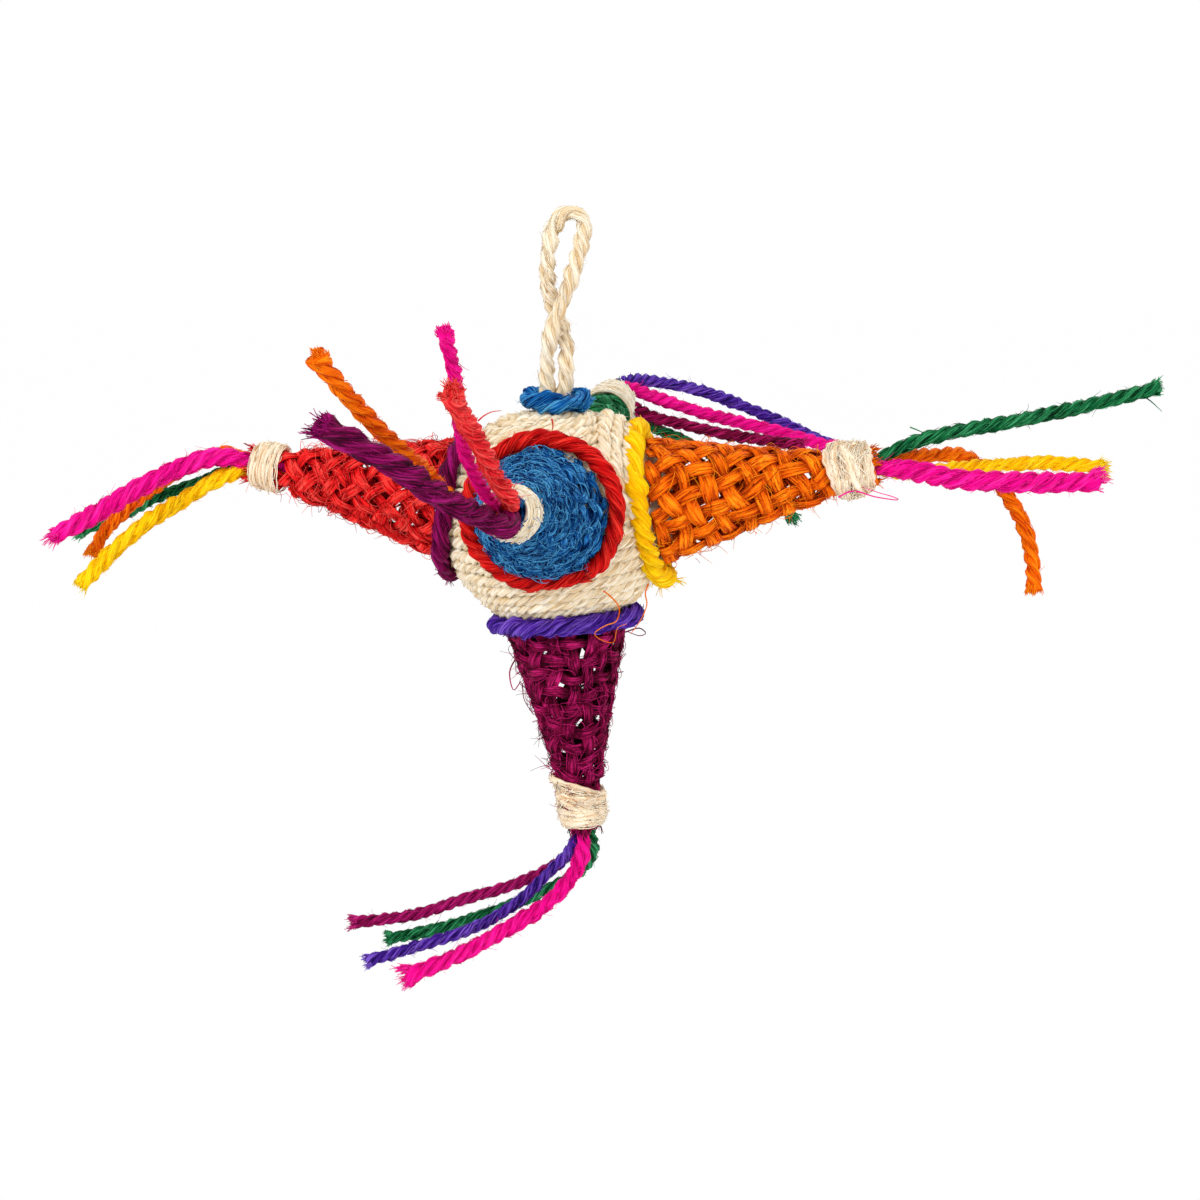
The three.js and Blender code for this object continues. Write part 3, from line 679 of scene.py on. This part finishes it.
def twine_ring(name, node, axes, radius, seed, dye, start, girth, plies, lay, rough, squash=0.0, sunk=0.0,
               peel=0.5):
    """Ring of cord lying on the ball, from its start angle round to a cut end that peels off it. It is drawn
    in on its lower side by the squash times the squared cosine, and stays on the ball's seat."""
    bundle = Bundle(seed)
    share = np.linspace(0, 1, 2000)
    turn = np.radians(start) + np.linspace(0, TAU - 0.3 / radius, len(share))
    out = around(axes, turn)
    reach = radius - squash * np.clip(np.cos(turn), 0, 1)[:, None] ** 2
    height = np.sqrt(RING_SEAT**2 - reach**2) - sunk
    lift = peel * np.clip(1 - 9 * (1 - share), 0, 1)[:, None] ** 2
    sway = wander(turn * radius, 14, bundle.rng, 2)[:, :, None]
    line = BALL + height * axes[2] + reach * out + 0.14 * (sway[0] * out + sway[1] * axes[2])
    line = evenly(line + lift * (out + axes[2]), 0.32)
    width = girth * (1 + 0.05 * wander(lengths(line), 12, bundle.rng)[0])
    ring = Rope(line, axes[2], width, lay, bundle.rng, plies, rough, lobe=0.2, unlay=0.25)
    ring.lay_into(bundle, 24 // plies)
    ring.fibres(bundle, count=int(28 * radius), longest=4.2, lift=0.45, thick=0.14)
    for end in (line, line[::-1]):
        cut_end(bundle, end, girth, count=110, spread=0.6, longest=3.0 * peel + 0.3)
    stray_fibres(bundle, line, girth, count=50, longest=2.2)
    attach(bundle.piece(name, dye, [node]), "star")


# Slope of the cone: distance down it at each corner of the profile, and the sine of its flare
SLOPE = lengths(CONE_PROFILE)
FLARE = (CONE_PROFILE[0, 0] - CONE_PROFILE[1, 0]) / SLOPE[1]
# Flat cloth: the sector's outer radius, and half its angle with the seam's lap
CUT_RADIUS = CONE_PROFILE[0, 0] / FLARE
CUT_HALF = np.pi * FLARE + 0.05
# A strand of the cloth: its swing over and under, its thickness, the step along it, its fibres to the
# millimetre and the fewest steps that are worth a strand
SWING, STRAND_THICK, STRAND_STEP, STRAND_FIBRES, FEWEST_STEPS = 0.32, 0.52, 0.42, 2.2, 5
# Strands on each side of the middle one, and their length each way, enough to cover the sector
STRANDS, STRAND_REACH = 16, 44
# Fibres at each raw strand end on the seam, and tufts and fibres to a tuft round the mouth
SEAM_FIBRES, MOUTH_TUFTS, MOUTH_FIBRES = 12, 14, 10


def on_cone(axes, reach, angle, lift):
    """Point on a cone: reach along its slope from the base, angle round it from straight down, and lift
    square to the slope."""
    radius = np.interp(reach, SLOPE, CONE_PROFILE[:, 0]) + lift * np.sqrt(1 - FLARE**2)
    height = np.interp(reach, SLOPE, CONE_PROFILE[:, 1]) + lift * FLARE
    return BALL + height[..., None] * axes[2] + radius[..., None] * around(axes, angle)


def woven_cone(tip, axes, seed, dye, bias, seam, pitch, width, uneven, shade_fibres_inside, nap):
    """Cloth cut as a sector and rolled into a cone with a lapped seam. In the flat cloth the strands of each
    family are straight but for a little wander and a pitch apart, turned by the bias, and cross over and
    under: strand k lifts by h cos(pi t / pitch + pi k) at length t. A flat point at radius R and angle a from
    the middle rolls up to reach = cut radius - R and angle = seam + pi + a / flare."""
    bundle, fringe = Bundle(seed), Bundle(seed + 50)
    rng, loose = bundle.rng, fringe.rng
    corner = TAU * np.arange(16) / 16
    shape, rise = np.cos(corner), np.sin(corner)
    tilt = np.radians(bias)
    t = np.arange(-STRAND_REACH, STRAND_REACH, STRAND_STEP)
    forth, to_and_fro = np.linspace(0, 1, FIBRE_POINTS), np.linspace(-1, 1, FIBRE_POINTS)

    def rolled(family, aside, length, lift):
        """Flat radius and angle of points on a strand, and where they come to lie. The second family's length
        runs along x and the first's along y, and the seam's upper edge stands over the lower."""
        x, y = ((aside, length), (length, aside))[family]
        a, b = x * np.cos(tilt) - y * np.sin(tilt), x * np.sin(tilt) + y * np.cos(tilt)
        radius, round_it = np.hypot(a, b), np.arctan2(b, a)
        flap = 0.55 * np.clip((round_it - CUT_HALF + 0.2) / 0.12, 0, 1)
        angle = np.radians(seam) + np.pi + round_it / FLARE
        return radius, round_it, on_cone(axes, CUT_RADIUS - radius, angle, lift + flap - 0.3)

    roots, heads = [], []
    for family in (0, 1):
        for k in range(-STRANDS, STRANDS + 1):
            across = k * pitch + uneven * pitch * wander(t, 12, rng)[0]
            swing = (1 - 2 * family) * SWING * np.cos(np.pi * t / pitch + np.pi * k)
            radius, round_it, _ = rolled(family, across, t, swing)
            kept = (np.abs(round_it) < CUT_HALF) & (radius < CUT_RADIUS) & (radius > CUT_RADIUS - SLOPE[-1])
            edges = np.flatnonzero(np.diff(np.concatenate([[0], kept, [0]])))
            for first, last in edges.reshape(-1, 2):
                if last - first < FEWEST_STEPS:
                    continue
                run = slice(first, last)
                span = width * (1 + 1.3 * uneven * wander(t[run], 9, rng)[0][:, None])
                ribs = 1 + 0.3 * np.cos(TAU * 1.9 * shape + 2 * wander(t[run], 8, rng)[0][:, None])
                aside = across[run, None] + span / 2 * shape
                level = swing[run, None] + STRAND_THICK / 2 * rise * ribs
                corners = rolled(family, aside, np.broadcast_to(t[run, None], aside.shape), level)[2]
                # Painted shade: a strand is drawn darker where it passes under the other family and towards
                # its edges
                painted_crossing_shade = 0.5 - 0.5 * swing[run, None] / SWING
                bundle.add(corners[None], 0.9 * painted_crossing_shade + 0.5 * shape**6 - 0.2)

                count = int((last - first) * STRAND_STEP * STRAND_FIBRES)
                at = rng.uniform(0, last - first - 4, (count, 1))
                at = at + rng.uniform(6, 16, (count, 1)) * forth
                number = first + np.round(np.minimum(at, last - first - 1)).astype(int)
                place = rng.uniform(-0.45, 0.45, (count, 1))
                place = place + rng.normal(0, 0.12, (count, 1)) * to_and_fro
                aside = across[number] + width * place
                off = 0.05 + 0.25 * rng.uniform(0, 1, (count, 1)) ** 3 * to_and_fro**4
                level = swing[number] + STRAND_THICK / 2 * np.sqrt(np.clip(1 - (2 * place) ** 2, 0, 1)) + off
                fibres = rolled(family, aside, t[number] + 0 * aside, level)[2]
                # Random tone for each fibre, plus painted shade where its strand passes under
                shade = rng.normal(-0.1, 0.6, (count, 1)) + 0.5 - 0.5 * swing[number] / SWING
                fringe.add(thin(fibres, 0.15, loose), shade[:, :, None])

                for end, inner in ((0, 3), (-1, -4)):
                    if abs(round_it[run][end]) > CUT_HALF - 0.03:
                        roots.append(corners[end].mean(0))
                        heads.append(unit(corners[end].mean(0) - corners[inner].mean(0)))

    roots, heads = np.repeat(roots, SEAM_FIBRES, axis=0), np.repeat(heads, SEAM_FIBRES, axis=0)
    roots = roots + loose.normal(0, 0.4, roots.shape)
    heads = unit(heads + loose.normal(0, 0.5, heads.shape))
    length = loose.uniform(0.4, 2.0, len(roots))
    fringe.add(hairs(roots, heads, length, loose, curl=0.7, thick=0.14),
               loose.normal(-0.1, 0.5, (len(roots), 1, 1)))

    count = MOUTH_TUFTS * MOUTH_FIBRES
    round_it = np.repeat(loose.uniform(0, TAU, MOUTH_TUFTS), MOUTH_FIBRES) + loose.normal(0, 0.1, count)
    roots = on_cone(axes, np.full(count, SLOPE[-1] - 1.0), round_it, np.full(count, 0.2))
    heads = unit(axes[2] + loose.normal(0, 0.16, roots.shape))
    length = np.repeat(loose.uniform(1.0, 2.4, MOUTH_TUFTS), MOUTH_FIBRES) * loose.uniform(0.7, 1, count)
    fringe.add(hairs(roots, heads, length, loose, curl=0.3, thick=0.3), loose.normal(0.1, 0.5, (count, 1, 1)))

    # Dark fibres under the cloth: painted shade for the cone's inside where it shows through the weave
    lying_fibres(fringe, axes, shade_fibres_inside, longest=9, thick=0.5, low=-1.0, high=0.3, spread=1.2, bend=1.0)
    lying_fibres(fringe, axes, **nap)
    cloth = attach(bundle.piece(f"cloth_{tip}", dye, [f"cone_{tip}"]), "star")
    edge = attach(fringe.piece(f"cloth_nap_{tip}", dye), "star")
    inner = CUT_RADIUS - SLOPE[-1]
    flat = 2 * CUT_RADIUS * np.sin(CUT_HALF), CUT_RADIUS - inner * np.cos(CUT_HALF)
    flat[0] * MM
    flat[1] * MM
    CUT_HALF * (CUT_RADIUS**2 - inner**2) * MM**2


def lying_fibres(fringe, axes, count, longest, thick, low, high, spread, bend, worn=None):
    """Loose fibres along the cloth: each crosses the slope at an angle within the spread of level, bends, and
    rises from its low ends by high sin(pi t). Few lie on the worn patch, which is given by its middle, its
    half width in degrees and its reach from the base. Those inside the cloth are all dark: painted shade for
    the cone's inside where it shows through the weave."""
    rng, points = fringe.rng, 7
    t = np.linspace(0, 1, points)
    reach = rng.uniform(0.5, SLOPE[2], (count, 1))
    length = longest * rng.uniform(0.3, 1, (count, 1))
    course = rng.normal(0, spread, (count, 1)) + rng.normal(0, bend, (count, 1)) * (t - 0.5)
    forth = np.cumsum(np.sin(course), axis=1) / points
    round_it = np.cumsum(np.cos(course), axis=1) / points
    radius = np.interp(reach, SLOPE, CONE_PROFILE[:, 0])
    angle = rng.uniform(0, TAU, (count, 1)) + length * round_it / radius
    off = low + rng.uniform(0, 1, (count, 1)) ** 2 * high * np.sin(np.pi * t)
    # Fibres inside the cloth all take one dark value, painted shade; the others vary in tone at random
    shade = rng.normal(-0.1, 0.9, (count, 1, 1)) if low > 0 else np.full((count, 1, 1), 1.2)
    reach = np.clip(reach + length * forth, 0.2, SLOPE[2])
    kept = np.full(count, True)
    if worn:
        middle, half, far = worn
        aside = np.abs(np.angle(np.exp(1j * (angle - np.radians(middle))))).min(axis=1)
        clear = np.hypot(aside / np.radians(half), reach.min(axis=1) / far) > 1
        kept = clear | (rng.uniform(0, 1, count) < 0.06)
    fringe.add(thin(on_cone(axes, reach, angle, off)[kept], thick, rng), shade[kept])


def tip_whipping(tip, axes, seed, dye, strands, turns, width, sway, slant, bulk, first, last, loose):
    """Raw fibre wrapped round the neck. A strand's angle runs over its turns, its place along the neck climbs
    steadily and sways with the sine of the angle, and its flat section lies on the strands below. The edge by
    the cone is set forward on the side to which the slant points. Loose fibres lie on top, each along its own
    short piece of such a line."""
    bundle = Bundle(seed)
    rng, reach = bundle.rng, last - first
    rings_a_turn, turn_length = 44, 19
    corner = TAU * np.arange(12) / 12
    waves = rng.uniform(0, TAU, 4)

    def wrapped(share, angle, lift):
        """Point at a share of the whipping's reach and an angle: on the neck's profile, lifted by the bulk
        times the root of 4 share (1 - share), with lumps and ragged edges made of sines."""
        lump = np.sin(2 * angle + 3 * share + waves[0]) + np.sin(3 * angle - 5 * share + waves[1])
        ragged = np.sin(4 * angle + waves[2]) * np.sin(7 * angle + waves[3])
        out = around(axes, angle)
        axial = first + reach * share + (1 - share) * (out @ slant)
        radius = np.interp(axial, CONE_PROFILE[:, 1], CONE_PROFILE[:, 0]) + 0.3 + lift
        radius = radius + bulk * (1 + 0.16 * lump) * np.clip(4 * share * (1 - share), 0, 1) ** 0.5
        axial = axial + 0.2 * bulk * (2 * share - 1) * ragged
        return BALL + axial[..., None] * axes[2] + radius[..., None] * out

    for strand in range(strands):
        t = np.linspace(0, 1, int(turns * rings_a_turn))
        s = t * turns * turn_length
        angle = TAU * turns * t + rng.uniform(0, TAU)
        place = (strand + 0.1 + 0.9 * t) / strands + sway / reach * np.sin(angle + rng.uniform(0, TAU))
        place = np.clip(place + 0.1 / reach * wander(s, 6, rng)[0], 0, 1)[:, None]
        taper = np.clip(np.minimum(t, 1 - t) * turns * 5, 0.25, 1)[:, None]
        span = width / 2 / reach * taper * (1 + 0.15 * wander(s, 8, rng)[0][:, None])
        ribs = 1 + 0.4 * np.cos(TAU * 1.9 * np.cos(corner) + 2 * wander(s, 9, rng)[0][:, None])
        layer = rng.uniform(0, 0.3) + 0.1 * np.sin(angle * 1.7)[:, None]
        lift = layer + 0.32 * taper * np.sin(corner) * ribs
        corners = wrapped(place + span * np.cos(corner), angle[:, None] + 0 * lift, lift)
        # Painted shade: each strand is drawn darker towards its edges, where it meets its neighbours
        bundle.add(corners[None], 0.5 * np.cos(corner) ** 4 - 0.2)

    t = np.linspace(0, 1, 9)
    angle = rng.uniform(0, TAU, (loose, 1)) + rng.uniform(0.5, 2.4, (loose, 1)) * t
    place = rng.uniform(0, 1, (loose, 1)) + rng.normal(0, 0.3 + sway, (loose, 1)) / reach * (2 * t - 1)
    lift = 0.4 + rng.uniform(0, 0.25, (loose, 1))
    lift = lift + 0.6 * rng.uniform(0, 1, (loose, 1)) ** 4 * (2 * t - 1) ** 4
    fibres = thin(wrapped(np.clip(place, 0, 1), angle, lift), 0.2, rng)
    bundle.add(fibres, rng.normal(-0.4, 0.6, (loose, 1, 1)))
    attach(bundle.piece(f"whipping_{tip}", dye, [f"tip_whipping_{tip}"]), "star")


# Single fibres caught on the star, by dye, as points from the ball's middle
CAUGHT = {
    "orange": [[[9.8, -14.4, -8.8], [10.9, -14.4, -9.6], [12.3, -14.6, -11.4], [11.9, -15.1, -13.4],
                [10.4, -15.5, -14], [8.7, -16.1, -15.3], [11.6, -15.9, -16.6], [12.2, -15.3, -14.4],
                [13.6, -14.9, -13.8]],
               [[16.6, -13.1, -7.7], [16.2, -13.5, -9.2], [16.5, -13.8, -10.7], [15.8, -14.4, -12.9],
                [14.2, -15.2, -15.3]]],
    "pink": [[[44.8, -3.2, 4.8], [46.9, -2.6, 5.7], [50.6, -2.2, 4.8], [54.1, -1.8, 4.4], [53.3, -1.8, 4.8],
              [51.2, -2, 5.4], [48.4, -2.2, 6.3]]],
    "green": [[[55.4, 1.6, 15.3], [56.9, 1.7, 14.7], [58.5, 1.8, 13.9]],
              [[91.2, 12.2, 19.5], [92.2, 12.3, 18.9], [94.2, 12.2, 17.2]],
              [[66.6, 2.5, 16.8], [67.0, 2.4, 15.9], [67.4, 2.2, 15.0]]],
    "scarlet": [[[1.5, -12.1, 17.2], [1.7, -12.3, 16], [1.4, -12.5, 15]],
                [[-11.4, -6, 15.8], [-10.5, -5.7, 16.6], [-9.3, -5.4, 17.2], [-7.8, -5.2, 17.4]]],
    "wine": [[[11.4, -2.3, -18.1], [13.7, -1.8, -17.5], [14.7, -1.8, -18.3], [13.8, -2, -18.7],
              [11.6, -2.2, -18]],
             [[-6.4, -1, -22.9], [-7.6, -1.8, -25.6], [-6.8, -2.3, -28.5], [-5.7, -1.9, -27.2],
              [-5.1, -2.4, -30], [-3.5, -2.7, -32.4]]],
}


def caught_fibres(dye, lines, seed):
    """A few long fibres that hang on the star, each along its own smooth line."""
    bundle = Bundle(seed)
    for points in lines:
        bundle.add(thin(BALL + smooth_line(points, 0.4)[None], 0.3, bundle.rng), -0.3)
    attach(bundle.piece(f"caught_{dye}_fibre", dye), "tassel_right" if dye == "green" else "star")


# Floor: its height, half its side and its squares to a side. Lamps: name, place, side and power, in metres
# and watts
FLOOR_HEIGHT, FLOOR_HALF, FLOOR_SQUARES = -0.24, 3, 6
LAMPS = [("key", (-0.28, -0.62, 0.38), 0.4, 3.3), ("fill", (0.6, -0.45, 0.1), 0.6, 1.9),
         ("rim", (0.15, 0.55, 0.45), 0.5, 2.0)]


def studio():
    """Pale floor below the hanging star, a surround that is white where it is seen and lights the star at 0.7
    of that, and three broad lamps. The floor is almost white to the camera and keeps the star's shadow."""
    scene = bpy.context.scene
    scene.view_settings.view_transform = "Standard"
    world = bpy.data.worlds.new("studio")
    scene.world = world
    world.use_nodes = True
    world.node_tree.nodes.clear()
    start = Thread(world.node_tree)
    seen = (start.node("ShaderNodeLightPath", output="Is Camera Ray")
            + start.node("ShaderNodeLightPath", output="Is Glossy Ray"))
    seen = seen + start.node("ShaderNodeLightPath", output="Is Transmission Ray")
    strength = start.node("ShaderNodeClamp", {}, {"Value": seen}) * 0.3 + 0.7
    sky = start.node("ShaderNodeBackground", {}, {"Color": (1, 1, 1, 1), "Strength": strength})
    start.node("ShaderNodeOutputWorld", {}, {"Surface": sky})

    pale = bpy.data.materials.new("pale_floor")
    pale.use_nodes = True
    pale.node_tree.nodes.clear()
    start = Thread(pale.node_tree)
    matt = start.node("ShaderNodeBsdfDiffuse", {}, {"Color": (0.9, 0.9, 0.9, 1)})
    white = start.node("ShaderNodeEmission", {}, {"Color": (1, 1, 1, 1), "Strength": 1.0})
    seen = start.node("ShaderNodeLightPath", output="Is Camera Ray")
    both = start.node("ShaderNodeMixShader", {}, {0: seen * 0.99, 1: matt, 2: white})
    start.node("ShaderNodeOutputMaterial", {}, {"Surface": both})
    side = np.linspace(-FLOOR_HALF, FLOOR_HALF, FLOOR_SQUARES + 1)
    x, y = np.meshgrid(side, side, indexing="ij")
    points = np.stack([x, y, np.full_like(x, FLOOR_HEIGHT)], -1).reshape(-1, 3)
    step = len(side)
    cell = (step * np.arange(FLOOR_SQUARES)[:, None] + np.arange(FLOOR_SQUARES)).ravel()
    squares = np.stack([cell, cell + step, cell + step + 1, cell + 1], 1)
    mesh = bpy.data.meshes.new("floor")
    mesh.from_pydata(points.tolist(), [], squares.tolist())
    mesh.materials.append(pale)
    floor = bpy.data.objects.new("floor", mesh)
    scene.collection.objects.link(floor)

    for name, place, size, power in LAMPS:
        lamp = bpy.data.lights.new(name, "AREA")
        lamp.size, lamp.energy = size, power
        back = unit(np.array(place) - BALL * MM)
        across = unit(np.cross([0, 0, 1], back))
        stand(name, lamp, across, np.cross(back, across), back, place)


# Each cone's ring, cloth and whipping. A ring's radius is drawn in by its tightness. A cloth has its bias and
#  seam in degrees, its count of dark fibres inside, which are painted shade for the cone's inside seen
#  through the weave, and nap is what lying_fibres takes
CONES = {
    "front": {
        "ring": dict(dye="scarlet", start=40, girth=2.75, plies=3, lay=7.9, rough=0.08, squash=1.3, peel=0.2),
        "cloth": dict(dye="blue", bias=10, seam=60, pitch=2.7, width=1.6, uneven=0.16, shade_fibres_inside=200),
        "nap": dict(count=2700, longest=6, thick=0.18, low=0.12, high=1.1, spread=0.9, bend=1.8,
                    worn=(114, 42, 12)),
        "whip": dict(dye="natural_twine", strands=7, turns=1.5, width=1.2, sway=0.2, slant=(0, 0, 0),
                     bulk=0.12, first=43.5, last=50.3, loose=240)},
    "right": {
        "ring": dict(dye="yellow", start=8, girth=3.3, plies=3, lay=8.4, rough=0.12, sunk=1.6, peel=1),
        "cloth": dict(dye="orange", bias=43, seam=-25, pitch=3.3, width=2.25, uneven=0.13, shade_fibres_inside=60),
        "nap": dict(count=260, longest=6, thick=0.14, low=0.12, high=1.2, spread=1.2, bend=1.0),
        "whip": dict(dye="raw_fibre", strands=11, turns=1.3, width=1.3, sway=0.9, slant=(0, 0, -0.5),
                     bulk=1.0, first=44.3, last=50.4, loose=460)},
    "back": {
        "ring": dict(dye="green", start=0, girth=2.8, plies=3, lay=7.6, rough=0.1),
        "cloth": dict(dye="green", bias=30, seam=20, pitch=3.3, width=2.25, uneven=0.14, shade_fibres_inside=120),
        "nap": dict(count=300, longest=6, thick=0.14, low=0.12, high=1.2, spread=1.2, bend=1.0),
        # Painted light: the back whipping is raw fibre but takes the paler natural twine, which lifts it out
        # of the shade it lies in
        "whip": dict(dye="natural_twine", strands=8, turns=1.7, width=1.2, sway=0.4, slant=(0, 0, 0),
                     bulk=0.6, first=42.5, last=50.2, loose=420)},
    "left": {
        "ring": dict(dye="plum", start=0, girth=2.75, plies=3, lay=12, rough=0.16, sunk=0.4, peel=0.6),
        "cloth": dict(dye="red", bias=20, seam=30, pitch=3.1, width=1.95, uneven=0.18, shade_fibres_inside=300),
        "nap": dict(count=640, longest=6, thick=0.14, low=0.12, high=1.5, spread=1.2, bend=1.6),
        "whip": dict(dye="raw_fibre", strands=1, turns=8.0, width=0.72, sway=0.05, slant=(0, 0, 0),
                     bulk=0.5, first=45.4, last=50.6, loose=120)},
    "bottom": {
        "ring": dict(dye="violet", start=0, girth=2.85, plies=5, lay=9.8, rough=0.2, sunk=0.5),
        "cloth": dict(dye="wine", bias=26, seam=-90, pitch=2.85, width=1.8, uneven=0.22, shade_fibres_inside=80),
        "nap": dict(count=560, longest=6, thick=0.15, low=0.12, high=1.0, spread=1.2, bend=1.8),
        "whip": dict(dye="raw_fibre", strands=8, turns=1.6, width=1.1, sway=0.8, slant=(1.5, 0, 0),
                     bulk=0.5, first=43.6, last=50.5, loose=300)},
}
TIGHTNESS = {"bottom": 0.5}

photo_camera()
studio()
tassels = [(tip, tip_axes(heading, rise), cord)
           for tip, (heading, rise, cords) in SPIKES.items() for cord in cords]
for number, (tip, axes, cord) in enumerate(tassels, 1):
    tassel_cord(tip, axes, number, *cord)
hanging_loop()
wadded_core()
wound_ball()
twine_ring("collar_twine", "loop_collar", np.eye(3), COLLAR_RADIUS, 20, dye="blue", start=20, girth=2.75,
           plies=5, lay=8.4, rough=0.18, sunk=TOP_PRESS * (1 - (COLLAR_RADIUS / RING_SEAT) ** 2) ** 3,
           peel=0.2)
for order, (tip, cone) in enumerate(CONES.items()):
    axes = tip_axes(*SPIKES[tip][:2])
    radius = RING_RADIUS - TIGHTNESS.get(tip, 0)
    twine_ring(f"ring_{tip}", f"base_ring_{tip}", axes, radius, 30 + order, **cone["ring"])
    woven_cone(tip, axes, 40 + order, nap=cone["nap"], **cone["cloth"])
    tip_whipping(tip, axes, 60 + order, **cone["whip"])
for order, (dye, lines) in enumerate(CAUGHT.items()):
    caught_fibres(dye, lines, 80 + order)
